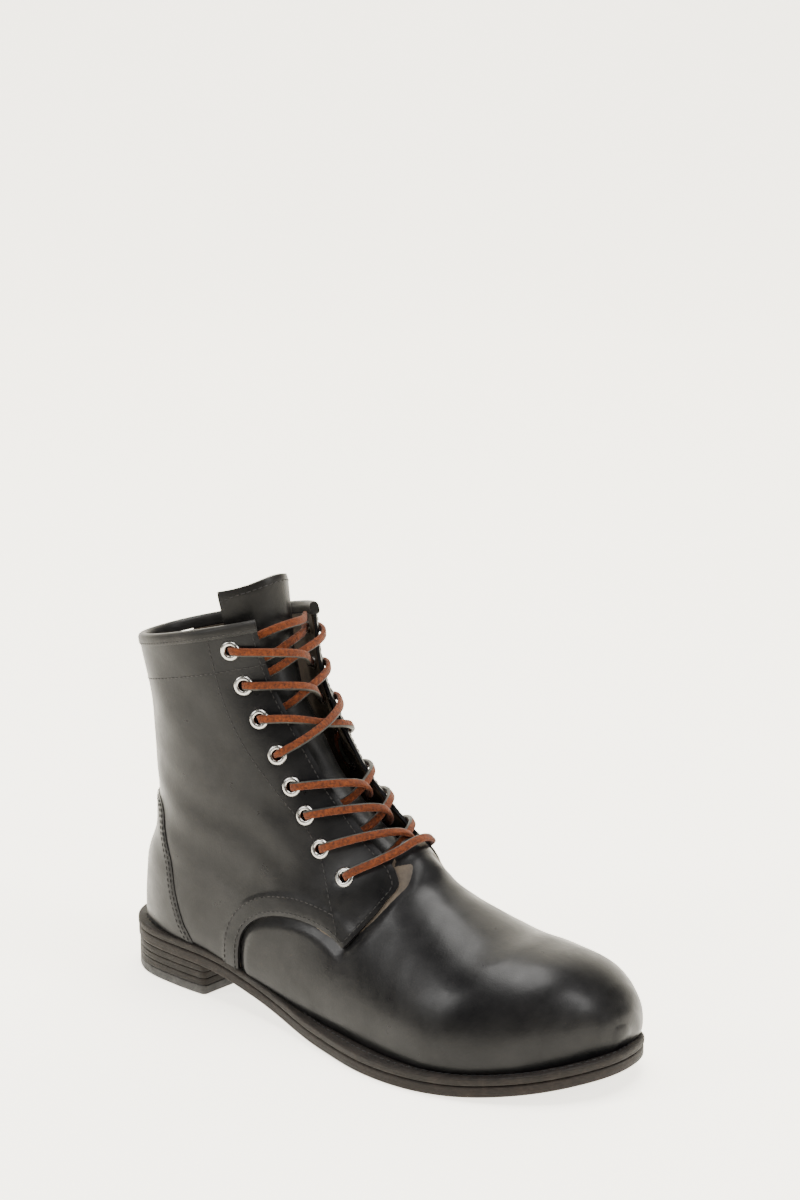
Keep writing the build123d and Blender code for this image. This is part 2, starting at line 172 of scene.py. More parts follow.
def make_camera():
    """Camera at the boot's outer front quarter, lens shifted to keep the boot low."""
    azimuth = math.radians(CAMERA_AZIMUTH)
    elevation = math.radians(CAMERA_ELEVATION)
    back = Vector((math.sin(azimuth) * math.cos(elevation),
                   -math.cos(azimuth) * math.cos(elevation), math.sin(elevation)))
    right = Vector((math.cos(azimuth), math.sin(azimuth), 0))
    up = back.cross(right)
    data = bpy.data.cameras.new("camera")
    data.sensor_fit = "VERTICAL"
    data.sensor_height = 24.0
    data.lens = CAMERA_LENS
    data.shift_x, data.shift_y = CAMERA_SHIFT
    data.clip_end = 20.0
    camera = bpy.data.objects.new("camera", data)
    place = Vector(CAMERA_TARGET) + back * CAMERA_DISTANCE
    camera.matrix_world = Matrix.Translation(place) @ Matrix((right, up, back)).transposed().to_4x4()
    bpy.context.scene.collection.objects.link(camera)
    bpy.context.scene.camera = camera


make_camera()


# ---------------------------------------------------------------- material helpers
class Nodes:
    """Short way to build a node material."""

    def __init__(self, name):
        self.material = bpy.data.materials.new(name)
        self.material.use_nodes = True
        self.tree = self.material.node_tree
        self.shader = self.tree.nodes["Principled BSDF"]
        self.coords = self.add("ShaderNodeTexCoord").outputs["Object"]

    def add(self, kind, **settings):
        node = self.tree.nodes.new(kind)
        for key, value in settings.items():
            setattr(node, key, value)
        return node

    def link(self, source, target):
        self.tree.links.new(source, target)

    def noise(self, scale, detail=4.0, roughness=0.6, stretch=None, distortion=0.0):
        node = self.add("ShaderNodeTexNoise")
        node.inputs["Scale"].default_value = scale
        node.inputs["Detail"].default_value = detail
        node.inputs["Roughness"].default_value = roughness
        node.inputs["Distortion"].default_value = distortion
        self.link(self.place(stretch), node.inputs["Vector"])
        return node.outputs["Fac"]

    def cells(self, scale):
        node = self.add("ShaderNodeTexVoronoi")
        node.inputs["Scale"].default_value = scale
        self.link(self.coords, node.inputs["Vector"])
        return node.outputs["Distance"]

    def place(self, stretch):
        if stretch is None:
            return self.coords
        mapping = self.add("ShaderNodeMapping")
        mapping.inputs["Scale"].default_value = stretch
        self.link(self.coords, mapping.inputs["Vector"])
        return mapping.outputs["Vector"]

    def ramp(self, source, low, high, at=(0.35, 0.65)):
        node = self.add("ShaderNodeValToRGB")
        node.color_ramp.elements[0].position = at[0]
        node.color_ramp.elements[1].position = at[1]
        node.color_ramp.elements[0].color = (*low, 1)
        node.color_ramp.elements[1].color = (*high, 1)
        self.link(source, node.inputs["Fac"])
        return node.outputs["Color"]

    def span(self, source, low, high, at=(0.3, 0.7)):
        node = self.add("ShaderNodeMapRange")
        node.inputs["From Min"].default_value = at[0]
        node.inputs["From Max"].default_value = at[1]
        node.inputs["To Min"].default_value = low
        node.inputs["To Max"].default_value = high
        self.link(source, node.inputs["Value"])
        return node.outputs["Result"]

    def mix(self, factor, first, second):
        node = self.add("ShaderNodeMix", data_type="RGBA")
        self.link(factor, node.inputs[0])
        self.link(first, node.inputs[6])
        self.link(second, node.inputs[7])
        return node.outputs[2]

    def bump(self, source, strength, distance, under=None):
        node = self.add("ShaderNodeBump")
        node.inputs["Strength"].default_value = strength
        node.inputs["Distance"].default_value = distance
        self.link(source, node.inputs["Height"])
        if under is not None:
            self.link(under, node.inputs["Normal"])
        return node.outputs["Normal"]

    def finish(self, colour, roughness, normal=None, **constants):
        self.link(colour, self.shader.inputs["Base Color"])
        self.link(roughness, self.shader.inputs["Roughness"])
        if normal is not None:
            self.link(normal, self.shader.inputs["Normal"])
        for key, value in constants.items():
            self.shader.inputs[key.replace("_", " ")].default_value = value
        return self.material


def black_leather(name, dark, light, shine, grain=0.22):
    """Burnished black full-grain leather: cloudy dye, fine pores, faint creases."""
    n = Nodes(name)
    cloud = n.noise(38, 5, 0.62, distortion=0.6)
    colour = n.ramp(cloud, dark, light)
    rough = n.span(n.noise(70, 5), shine - 0.07, shine + 0.10)
    pores = n.cells(1500)
    fine = n.noise(900, 3)
    normal = n.bump(pores, grain, 0.00012)
    normal = n.bump(fine, grain, 0.00010, normal)
    normal = n.bump(n.noise(60, 3, stretch=(1, 1, 1.6)), 0.12, 0.0012, normal)
    return n.finish(colour, rough, normal, Coat_Weight=0.03, Coat_Roughness=0.16,
                    Specular_IOR_Level=0.17)


def plain_leather(name, dark, light, shine=0.65):
    """Undyed or edge-dyed leather with a fibrous, slightly mottled face."""
    n = Nodes(name)
    colour = n.ramp(n.noise(90, 6, 0.7), dark, light)
    normal = n.bump(n.noise(700, 4), 0.35, 0.00025)
    normal = n.bump(n.cells(900), 0.2, 0.00015, normal)
    return n.finish(colour, n.span(n.noise(200, 4), shine - 0.1, shine + 0.12), normal)


def edge_leather(name, dark, light, layers=700.0):
    """Cut, dyed and worn sole leather: horizontal fibre lines and scuffs."""
    n = Nodes(name)
    lines = n.noise(1.0, 5, 0.75, stretch=(40, 40, layers * 2.2))
    scuffs = n.noise(120, 6, 0.75, distortion=0.8)
    colour = n.mix(n.span(scuffs, 0.0, 0.8, (0.45, 0.75)), n.ramp(lines, dark, light),
                   n.ramp(scuffs, light, tuple(2.0 * v for v in light)))
    normal = n.bump(lines, 0.6, 0.0005)
    normal = n.bump(n.noise(500, 5, 0.7), 0.5, 0.0004, normal)
    return n.finish(colour, n.span(lines, 0.5, 0.8), normal, Specular_IOR_Level=0.2)


def metal(name, tint, shine):
    """Polished plated metal with faint handling marks."""
    n = Nodes(name)
    colour = n.ramp(n.noise(300, 3), tuple(0.9 * v for v in tint), tint)
    normal = n.bump(n.noise(400, 4), 0.08, 0.0001)
    return n.finish(colour, n.span(n.noise(500, 4), shine, shine + 0.14), normal, Metallic=1.0)


def thread_material():
    """Waxed dark thread with a twisted ply."""
    n = Nodes("waxed_thread")
    twist = n.noise(1500, 3)
    return n.finish(n.ramp(twist, (0.0012, 0.0012, 0.0012), (0.007, 0.0066, 0.006)),
                    n.span(twist, 0.6, 0.8), n.bump(twist, 0.4, 0.0002))


def lace_material():
    """Rust suede thong: napped fibres, darker where handled."""
    n = Nodes("rust_thong")
    nap = n.noise(650, 6, 0.75)
    patches = n.noise(55, 4, 0.6)
    colour = n.mix(n.span(patches, 0.1, 0.75),
                   n.ramp(nap, (0.020, 0.0045, 0.0018), (0.115, 0.027, 0.0070)),
                   n.ramp(nap, (0.046, 0.0110, 0.0038), (0.185, 0.046, 0.0115)))
    normal = n.bump(nap, 0.7, 0.0005)
    normal = n.bump(n.cells(1100), 0.5, 0.0003, normal)
    return n.finish(colour, n.span(nap, 0.72, 0.95), normal, Sheen_Weight=0.06,
                    Sheen_Roughness=0.5, Specular_IOR_Level=0.15)


def cork_material():
    """Ground cork."""
    n = Nodes("cork")
    return n.finish(n.ramp(n.cells(420), (0.16, 0.09, 0.045), (0.50, 0.34, 0.19)),
                    n.span(n.noise(200), 0.7, 0.9), n.bump(n.cells(420), 0.5, 0.0005))


def fibre_material(name, dark, light):
    """Pressed fibre board or rubber, by its colours."""
    n = Nodes(name)
    return n.finish(n.ramp(n.noise(350, 5), dark, light), n.span(n.noise(250), 0.55, 0.8),
                    n.bump(n.noise(900, 4), 0.4, 0.0003))


UPPER = black_leather("burnished_black", (0.0030, 0.0030, 0.0034), (0.0085, 0.0083, 0.0088), 0.34)
TONGUE_SKIN = black_leather("soft_black", (0.0035, 0.0034, 0.0033), (0.010, 0.0095, 0.009), 0.40, 0.35)
BINDING = black_leather("binding_black", (0.006, 0.0058, 0.0055), (0.018, 0.017, 0.016), 0.46, 0.4)
LINING = plain_leather("lining_brown", (0.030, 0.022, 0.015), (0.075, 0.055, 0.036))
INSOLE = plain_leather("insole_tan", (0.20, 0.12, 0.06), (0.36, 0.24, 0.13))
SOCK = plain_leather("sock_brown", (0.035, 0.024, 0.016), (0.085, 0.060, 0.040))
WELT = edge_leather("welt_edge", (0.0035, 0.0028, 0.0024), (0.013, 0.010, 0.008))
SOLE = edge_leather("sole_edge", (0.0035, 0.0027, 0.0022), (0.014, 0.010, 0.008))
HEEL = edge_leather("heel_stack", (0.003, 0.0024, 0.002), (0.013, 0.010, 0.008))
RUBBER = fibre_material("black_rubber", (0.008, 0.008, 0.008), (0.028, 0.026, 0.025))
BOARD = fibre_material("fibre_board", (0.22, 0.16, 0.10), (0.42, 0.33, 0.22))
CORK = cork_material()
STEEL = metal("brushed_steel", (0.42, 0.42, 0.43), 0.3)
NICKEL = metal("polished_nickel", (0.42, 0.41, 0.39), 0.20)
THREAD = thread_material()
SUEDE = lace_material()
CUT_BLACK = black_leather("thong_black_face", (0.012, 0.012, 0.011), (0.055, 0.052, 0.044), 0.5, 0.4)


# ------------------------------------------------------------------- mesh helpers
def new_piece(name, points, faces, materials, body="boot", slot=None, sharp=50,
              picks=None):
    """Blender object from points in millimetres, riding on a body."""
    mesh = bpy.data.meshes.new(name)
    mesh.from_pydata((np.asarray(points) * MM).tolist(), [], [tuple(int(v) for v in f) for f in faces])
    for material in materials:
        mesh.materials.append(material)
    if picks is not None:
        mesh.polygons.foreach_set("material_index", np.asarray(picks, dtype=np.int32))
    mesh.polygons.foreach_set("use_smooth", [True] * len(mesh.polygons))
    mesh.update()
    mesh.set_sharp_from_angle(angle=math.radians(sharp))
    piece = bpy.data.objects.new(name, mesh)
    bpy.context.scene.collection.objects.link(piece)
    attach(piece, body)
    return piece


def step(value):
    """Smooth step from 0 to 1."""
    value = np.clip(value, 0, 1)
    return value * value * (3 - 2 * value)


def side_field(points, line, closing):
    """Signed side-view distance to a smooth line; positive inside line plus closing corners."""
    line = np.asarray(line)
    best = np.full(len(points), 1e9)
    at = points[:, [0, 2]]
    for a, b in zip(line[:-1], line[1:]):
        run = b - a
        f = np.clip(((at - a) @ run) / max(run @ run, 1e-9), 0, 1)
        best = np.minimum(best, np.hypot(*(at - a - f[:, None] * run).T))
    ring = np.vstack([line, closing])
    inside = np.zeros(len(points), bool)
    for (x1, z1), (x2, z2) in zip(ring, np.roll(ring, -1, axis=0)):
        crosses = (z1 > at[:, 1]) != (z2 > at[:, 1])
        reach = (x2 - x1) * (at[:, 1] - z1) / (z2 - z1 if z2 != z1 else 1e-9) + x1
        inside ^= crosses & (at[:, 0] < reach)
    return np.where(inside, best, -best)


def collar_depth(points):
    """Distance below the collar's slanting edge."""
    (xb, zb), (xf, zf) = COLLAR_BACK, COLLAR_FRONT
    slope = (zf - zb) / (xf - xb)
    return (zb + slope * (points[:, 0] - xb) - points[:, 2]) / math.hypot(1, slope)


def round_min(a, b, radius):
    """Smaller of two fields, with the corner between them rounded."""
    blend = np.clip(0.5 + 0.5 * (b - a) / radius, 0, 1)
    return b + (a - b) * blend - radius * blend * (1 - blend)


ROWS = 280
COLUMNS = 184
NOSE_RINGS = 6
NOSE_BULGE = 1.2


def skin_mesh(inset=0.0, rows=ROWS, columns=COLUMNS):
    """Whole outer face as triangles with outward normals, drawn to a point at the toe."""
    place = np.linspace(0.3, len(SECTIONS) - 1, rows)
    angle = np.arange(columns) * 360 / columns
    grid = surface(place[:, None], angle[None, :], inset)
    last = grid[-1]
    middle = last.mean(axis=0)
    shares = [1 - k / NOSE_RINGS for k in range(1, NOSE_RINGS + 1)]
    nose = [middle + (last - middle) * share + np.array([NOSE_BULGE * (1 - share ** 2), 0, 0])
            for share in shares]
    grid = np.concatenate([grid, np.array(nose)])
    total = len(grid)
    points = grid.reshape(-1, 3)
    i, j = np.meshgrid(np.arange(total - 1), np.arange(columns), indexing="ij")
    a = i * columns + j
    b = i * columns + (j + 1) % columns
    c = a + columns
    d = b + columns
    even = (i + j) % 2 == 0
    first = np.where(even[..., None], np.stack([a, b, d], -1), np.stack([a, b, c], -1))
    second = np.where(even[..., None], np.stack([a, d, c], -1), np.stack([b, d, c], -1))
    faces = np.concatenate([first.reshape(-1, 3), second.reshape(-1, 3)])
    return {"p": points, "f": faces, "n": normals_of(points, faces)}


def normals_of(points, faces):
    """Vertex normals that point outwards."""
    a, b, c = (points[faces[:, k]] for k in range(3))
    face = np.cross(b - a, c - a)
    normal = np.zeros_like(points)
    for k in range(3):
        np.add.at(normal, faces[:, k], face)
    _, same = np.unique(np.round(points, 5), axis=0, return_inverse=True)
    shared = np.zeros((same.max() + 1, 3))
    np.add.at(shared, same.reshape(-1), normal)
    normal = shared[same.reshape(-1)]
    return normal / np.maximum(np.linalg.norm(normal, axis=1), 1e-9)[:, None]


def clip(mesh, field):
    """Keeps the part where the named field isn't negative, cut exactly along its edge."""
    value = np.where(np.abs(mesh[field]) < 0.12, 0.0, mesh[field])
    faces = mesh["f"]
    keep = value[faces] >= 0
    count = keep.sum(axis=1)
    whole = faces[count == 3]
    made = {}
    rows = []
    extra = []
    size = len(value)

    def cut(i, j):
        key = (min(i, j), max(i, j))
        if key not in made:
            f = value[key[0]] / (value[key[0]] - value[key[1]])
            made[key] = size + len(rows)
            rows.append((key[0], key[1], f))
        return made[key]

    for face, kept in zip(faces[(count > 0) & (count < 3)], keep[(count > 0) & (count < 3)]):
        ring = []
        for k in range(3):
            i, j = int(face[k]), int(face[(k + 1) % 3])
            if kept[k]:
                ring.append(i)
            if kept[k] != kept[(k + 1) % 3]:
                start = i if kept[k] else j
                if value[start] != 0:
                    ring.append(cut(i, j))
        for k in range(1, len(ring) - 1):
            extra.append((ring[0], ring[k], ring[k + 1]))
    out = {}
    rows = np.array(rows) if rows else np.zeros((0, 3))
    i, j, f = rows[:, 0].astype(int), rows[:, 1].astype(int), rows[:, 2]
    faces = np.concatenate([whole, np.array(extra, int).reshape(-1, 3)])
    used, faces = np.unique(faces, return_inverse=True)
    faces = faces.reshape(-1, 3)
    for key, data in mesh.items():
        if key != "f":
            weight = f.reshape(-1, *([1] * (data.ndim - 1)))
            out[key] = np.concatenate([data, data[i] * (1 - weight) + data[j] * weight])[used]
    out["f"] = faces[(faces != np.roll(faces, -1, axis=1)).all(axis=1)]
    return out


def rim_edges(faces):
    """Boundary edges, each in the direction its face has it."""
    edges = np.concatenate([faces[:, [0, 1]], faces[:, [1, 2]], faces[:, [2, 0]]])
    key = np.sort(edges, axis=1)
    _, index, count = np.unique(key, axis=0, return_index=True, return_counts=True)
    return edges[index[count == 1]]


ROLL_DEPTH = 0.55
ROLL_WIDTH = 1.7


def panel(name, mesh, lift, thickness, materials, edge=None, **options):
    """Leather panel: the mesh raised by lift, with its own thickness and closed rims."""
    normal = mesh["n"] / np.linalg.norm(mesh["n"], axis=1)[:, None]
    lift = np.zeros(len(normal)) + lift
    roll = 0 if edge is None else ROLL_DEPTH * (1 - step(edge / ROLL_WIDTH))
    outer = mesh["p"] + normal * (lift - roll)[:, None]
    inner = mesh["p"] + normal * (lift - thickness)[:, None]
    size = len(outer)
    rim = [(b, a, a + size, b + size) for a, b in rim_edges(mesh["f"])]
    faces = list(map(tuple, mesh["f"])) + [tuple(f[::-1] + size) for f in mesh["f"]] + rim
    return new_piece(name, np.vstack([outer, inner]), faces, materials, **options)


def contour(mesh, field, level, lift=0.0):
    """Lines on the mesh where a field has one value, as chains of points and normals."""
    value = mesh[field] - level
    value = np.where(value == 0, 1e-6, value)
    links = {}
    where = {}
    for face in mesh["f"][np.ptp(np.sign(value[mesh["f"]]), axis=1) > 0]:
        ends = []
        for k in range(3):
            i, j = sorted((int(face[k]), int(face[(k + 1) % 3])))
            if value[i] * value[j] < 0:
                f = value[i] / (value[i] - value[j])
                where[(i, j)] = (mesh["p"][i] * (1 - f) + mesh["p"][j] * f,
                                 mesh["n"][i] * (1 - f) + mesh["n"][j] * f)
                ends.append((i, j))
        if len(ends) == 2:
            links.setdefault(ends[0], []).append(ends[1])
            links.setdefault(ends[1], []).append(ends[0])
    chains = []
    seen = set()
    starts = sorted(k for k in links if len(links[k]) == 1) + sorted(links)
    for start in starts:
        if start in seen:
            continue
        chain = [start]
        seen.add(start)
        while True:
            onward = [k for k in links[chain[-1]] if k not in seen]
            if not onward:
                break
            chain.append(onward[0])
            seen.add(onward[0])
        if len(chain) > 4:
            points = np.array([where[k][0] for k in chain])
            normals = np.array([where[k][1] for k in chain])
            normals /= np.linalg.norm(normals, axis=1)[:, None]
            chains.append((points + normals * lift, normals))
    return chains


def resample(points, normals, spacing):
    """Even steps along a line, with the normals there."""
    distance = np.r_[0, np.cumsum(np.linalg.norm(np.diff(points, axis=0), axis=1))]
    count = max(int(distance[-1] / spacing), 1)
    at = (np.arange(count) + 0.5) * distance[-1] / count
    return [np.stack([np.interp(at, distance, rows[:, k]) for k in range(3)], -1)
            for rows in (points, normals)]


STITCH_RINGS = [(-0.72, 0.72), (0.0, 1.0), (0.72, 0.72)]
STITCH_SINK = 0.15


def stitches(name, lines, length=2.3, width=0.55, spacing=3.0, **options):
    """Rows of short sunk thread stitches along lines of points and normals."""
    points = []
    faces = []
    for line, line_normals in lines:
        if len(line) < 3:
            continue
        spots, normals = resample(line, line_normals, spacing)
        if len(spots) < 3:
            continue
        tangents = np.gradient(spots, axis=0)
        for spot, normal, tangent in zip(spots, normals, tangents):
            tangent = tangent / max(np.linalg.norm(tangent), 1e-9)
            normal = normal - tangent * (normal @ tangent)
            normal /= max(np.linalg.norm(normal), 1e-9)
            side = np.cross(normal, tangent)
            start = len(points)
            for s, r in STITCH_RINGS:
                for k in range(6):
                    a = math.pi * k / 3
                    offset = side * math.cos(a) + normal * 0.75 * math.sin(a)
                    points.append(spot + tangent * s * length / 2 + offset * r * width / 2)
            points.append(spot - tangent * length / 2 - normal * STITCH_SINK)
            points.append(spot + tangent * length / 2 - normal * STITCH_SINK)
            for ring in range(2):
                for k in range(6):
                    a = start + ring * 6 + k
                    b = start + ring * 6 + (k + 1) % 6
                    faces.append((a, b, b + 6, a + 6))
            for k in range(6):
                faces.append((start + 18, start + (k + 1) % 6, start + k))
                faces.append((start + 19, start + 12 + k, start + 12 + (k + 1) % 6))
    return new_piece(name, points, faces, [THREAD], sharp=80, **options)


def weld(points, faces):
    """Joins points that coincide, and drops faces that close up."""
    points, index = np.unique(np.round(np.asarray(points), 4), axis=0, return_inverse=True)
    index = index.reshape(-1)
    kept = []
    for face in faces:
        ring = [int(index[i]) for i in face]
        ring = [v for k, v in enumerate(ring) if v != ring[k - 1]]
        if len(set(ring)) == len(ring) > 2:
            kept.append(tuple(ring))
    return points, kept


def tube(rings, closed_path, closed_profile=True):
    """Quads between rings of points; an open path gets a cap at each end."""
    count, size = rings.shape[:2]
    faces = []
    for i in range(count if closed_path else count - 1):
        a = i * size
        b = (i + 1) % count * size
        for k in range(size if closed_profile else size - 1):
            n = (k + 1) % size
            faces.append((a + k, a + n, b + n, b + k))
    if not closed_path:
        faces.append(tuple(range(size))[::-1])
        faces.append(tuple((count - 1) * size + k for k in range(size)))
    return rings.reshape(-1, 3), faces


# --------------------------------------------------------------------------- lace
LACE_WIDTH = 4.2
LACE_THICK = 2.3
LACE_SIDES = 14
LACE_SQUARENESS = 0.55
LACE_LEAN = 0.45  # least sideways share of a wanted direction that the lace turns to
LACE_TURN = 0.22
# The route of the one lace as (level, across, lift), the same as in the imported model.
LACE_ROUTE = [
    (-0.35, 0.80, -5.9), (-0.30, 0.45, -5.2), (-0.35, 0.05, -3.9), (-0.30, -0.45, -5.4),
    (0.00, -1.00, -5.8), (0.00, -1.00, 3.2), (0.20, -0.60, 4.4), (0.50, 0.00, 1.4),
    (0.80, 0.55, -6.0), (1.00, 1.00, -5.8), (1.00, 1.00, 3.2), (1.20, 0.60, 3.5),
    (1.50, 0.00, -2.6), (1.80, -0.55, -6.0), (2.00, -1.00, -5.8), (2.00, -1.00, 3.2),
    (2.20, -0.60, 3.5), (2.50, 0.00, -1.8), (2.80, 0.60, 3.5), (3.00, 1.00, 3.2),
    (3.00, 1.00, -5.8), (4.00, 1.00, -5.8), (4.00, 1.00, 3.2), (4.20, 0.60, 3.5),
    (4.50, 0.00, -2.6), (4.80, -0.55, -6.0), (5.00, -1.00, -5.8), (5.00, -1.00, 3.2),
    (5.20, -0.60, 3.5), (5.50, 0.00, 1.4), (5.80, 0.55, -6.0), (6.00, 1.00, -5.8),
    (6.00, 1.00, 3.2), (6.20, 0.60, 3.5), (6.50, 0.00, -2.6), (6.80, -0.55, -6.0),
    (7.00, -1.00, -5.8), (7.00, -1.00, 3.2), (7.10, -0.55, 3.4), (6.95, 0.00, 4.2),
    (7.10, 0.55, 3.4), (7.00, 1.00, 3.2), (7.00, 1.00, -5.8), (6.80, 0.55, -6.0),
    (6.50, 0.00, 1.4), (6.20, -0.60, 3.5), (6.00, -1.00, 3.2), (6.00, -1.00, -5.8),
    (5.80, -0.55, -6.0), (5.50, 0.00, -2.6), (5.20, 0.60, 3.5), (5.00, 1.00, 3.2),
    (5.00, 1.00, -5.8), (4.80, 0.55, -6.0), (4.50, 0.00, 1.4), (4.20, -0.60, 3.5),
    (4.00, -1.00, 3.2), (4.00, -1.00, -5.8), (3.00, -1.00, -5.8), (3.00, -1.00, 3.2),
    (2.80, -0.60, 3.5), (2.50, 0.00, 2.6), (2.20, 0.60, 3.4), (2.00, 1.00, 3.2),
    (2.00, 1.00, -5.8), (1.80, 0.55, -6.0), (1.50, 0.00, 1.4), (1.20, -0.60, 3.5),
    (1.00, -1.00, 3.2), (1.00, -1.00, -5.8), (0.80, -0.55, -6.0), (0.50, 0.00, -2.6),
    (0.20, 0.60, 4.4), (0.00, 1.00, 3.2), (0.00, 1.00, -5.8), (0.05, 0.55, -6.2),
    (0.15, 0.00, -5.6), (0.40, -0.50, -6.2), (0.50, -0.85, -5.8),
]


def lace_line():
    """Points along the smooth line that has the route as its control points."""
    curve = bpy.data.curves.new("lace_line", "CURVE")
    curve.dimensions = "3D"
    spline = curve.splines.new("NURBS")
    spline.points.add(len(LACE_ROUTE) - 1)
    for control, (level, across, lift) in zip(spline.points, LACE_ROUTE):
        seat, normal = lacing_seat(level, across)
        control.co = (*((seat + normal * lift) * MM), 1)
    spline.order_u = 3
    spline.use_endpoint_u = True
    spline.resolution_u = 12
    holder = bpy.data.objects.new("lace_line", curve)
    mesh = bpy.data.meshes.new_from_object(holder)
    points = np.array([vertex.co[:] for vertex in mesh.vertices]) / MM
    bpy.data.objects.remove(holder)
    bpy.data.curves.remove(curve)
    bpy.data.meshes.remove(mesh)
    return points


def lace_frames(line):
    """Sideways and outward directions along the line, turned gently to face outwards."""
    normals = np.array([lacing_seat(level, across)[1] for level, across, _ in LACE_ROUTE])
    wanted = smooth_rows(normals, np.linspace(0, len(normals) - 1, len(line)))
    tangents = np.gradient(line, axis=0)
    tangents /= np.linalg.norm(tangents, axis=1)[:, None]
    up = wanted[0]
    ups = []
    for tangent, goal in zip(tangents, wanted):
        up = up - tangent * (up @ tangent)
        up /= np.linalg.norm(up)
        across = goal - tangent * (goal @ tangent)
        strength = np.linalg.norm(across)
        if strength > LACE_LEAN:
            goal = across / strength
            goal = goal if goal @ up > 0 else -goal
            up = up + LACE_TURN * (goal - up)
            up /= np.linalg.norm(up)
        ups.append(up)
    ups = np.array(ups)
    return np.cross(tangents, ups), ups


def make_lace():
    """Flat suede thong with one black edge, threaded through all sixteen eyelets."""
    line = lace_line()
    sides, ups = lace_frames(line)
    turn = (np.arange(LACE_SIDES) + 0.5) * 2 * math.pi / LACE_SIDES
    c = np.sign(np.cos(turn)) * np.abs(np.cos(turn)) ** LACE_SQUARENESS * LACE_WIDTH / 2
    s = np.sign(np.sin(turn)) * np.abs(np.sin(turn)) ** LACE_SQUARENESS * LACE_THICK / 2
    rings = line[:, None] + sides[:, None] * c[None, :, None] + ups[:, None] * s[None, :, None]
    points, faces = tube(rings, closed_path=False)
    middle = np.cos(turn + math.pi / LACE_SIDES)
    black = np.tile(middle < -0.5, len(line) - 1)
    picks = np.r_[black.astype(int), 0, 0]
    lace = new_piece("lace_thong", points, faces, [SUEDE, CUT_BLACK], slot="lace_thong",
                     picks=picks)
    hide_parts("lace")


make_lace()


# ------------------------------------------------------------------ leather panels
SEAT_TUCK = 1.5
QUARTER_THICK = 2.0
COUNTER_LIFT = 0.9
APRON_BAND = 10.5
HOLE_R = 3.4
STITCH_LIFT = 0.1
EDGE_ROW = 2.0
APRON_ROW = 1.2
COLLAR_ROW = 21.0
COUNTER_ROWS = (1.7, 3.9)
FRONT_X = 147
BEHIND_X = -80
ABOVE_Z = 260
BELOW_Z = 10
# Folds as (middle, spread, height) along the axis that each one belongs to.
TOE_FOLDS = (166, 22, 0.05)
ANKLE_FOLDS = (92, 26, 0.26)
SHAFT_FOLDS = (150, 34, 0.35)


def creases(points):
    """Outward bulge of worn leather: soft folds at the ankle and behind the toes."""
    x, y, z = points.T
    near = lambda value, middle, spread, height: height * np.exp(-((value - middle) / spread) ** 2)
    flex = near(x, *TOE_FOLDS) * step((z - 28) / 30)
    waves = np.sin((x - 0.25 * np.abs(y)) * 2 * math.pi / 13 + 1.3 * np.sin(0.11 * y))
    ankle = near(z, *ANKLE_FOLDS) * step((115 - x) / 50)
    folds = np.sin((z + 0.42 * x) * 2 * math.pi / 24 + 0.9 * np.sin(0.08 * x))
    shaft = near(z, *SHAFT_FOLDS) * step((90 - x) / 50)
    sway = np.sin((z + 0.9 * x) * 2 * math.pi / 46)
    return flex * waves + ankle * folds + shaft * sway


def seat_points(side):
    """Lacing seats of one side: points and normals."""
    seats = [lacing_seat(level, side) for level in range(len(EYELET_STATIONS))]
    return np.array([point for point, _ in seats]), np.array([normal for _, normal in seats])


def add_fields(mesh):
    """Signed distances that the seams, edges and stitch rows follow."""
    points = mesh["p"]
    x, y, z = points.T
    edge = np.vstack([dense(VAMP_EDGE), FRONT_EDGE[1:]])
    round_back = [(FRONT_X, ABOVE_Z), (BEHIND_X, ABOVE_Z), (BEHIND_X, BELOW_Z)]
    mesh["quarter"] = side_field(points, edge, round_back)
    mesh["apron"] = side_field(points, dense(VAMP_EDGE), [(FRONT_X, 70)] + round_back)
    mesh["counter"] = side_field(points, dense(COUNTER_EDGE), [(BEHIND_X, BELOW_Z), (BEHIND_X, 96)])
    mesh["facing"] = side_field(points, dense(FACING_EDGE), [(220, 50), (220, 215)])
    mesh["back"] = -mesh["facing"]
    mesh["throat"] = np.abs(y) - along(THROAT, z)
    mesh["seat"] = z - along(SEAT_LINE, x) + SEAT_TUCK
    mesh["collar"] = collar_depth(points) - 1.0
    mesh["outer"] = -y
    mesh["inner"] = y
    mesh["edge"] = round_min(mesh["quarter"], mesh["throat"], 2.0)
    overlap = 6 - mesh["quarter"]
    under_throat = np.minimum(x - VAMP_THROAT_X + 1, 3 - mesh["throat"])
    mesh["vamp"] = np.maximum(overlap, under_throat)
    for side in (-1, 1):
        seats, _ = seat_points(side)
        gap = np.linalg.norm(points[:, None] - seats[None], axis=2).min(axis=1)
        mesh["holes_outer" if side < 0 else "holes_inner"] = gap - HOLE_R
    return mesh


def outer_face():
    """The upper's whole outer face, with its folds and fields."""
    mesh = skin_mesh()
    mesh["p"] = mesh["p"] + mesh["n"] * creases(mesh["p"])[:, None]
    mesh["n"] = normals_of(mesh["p"], mesh["f"])
    return add_fields(mesh)


def quarter_lift(mesh):
    """The doubled band along the apron stands slightly proud."""
    return 0.45 * step((APRON_BAND + 0.7 - mesh["apron"]) / 1.4)


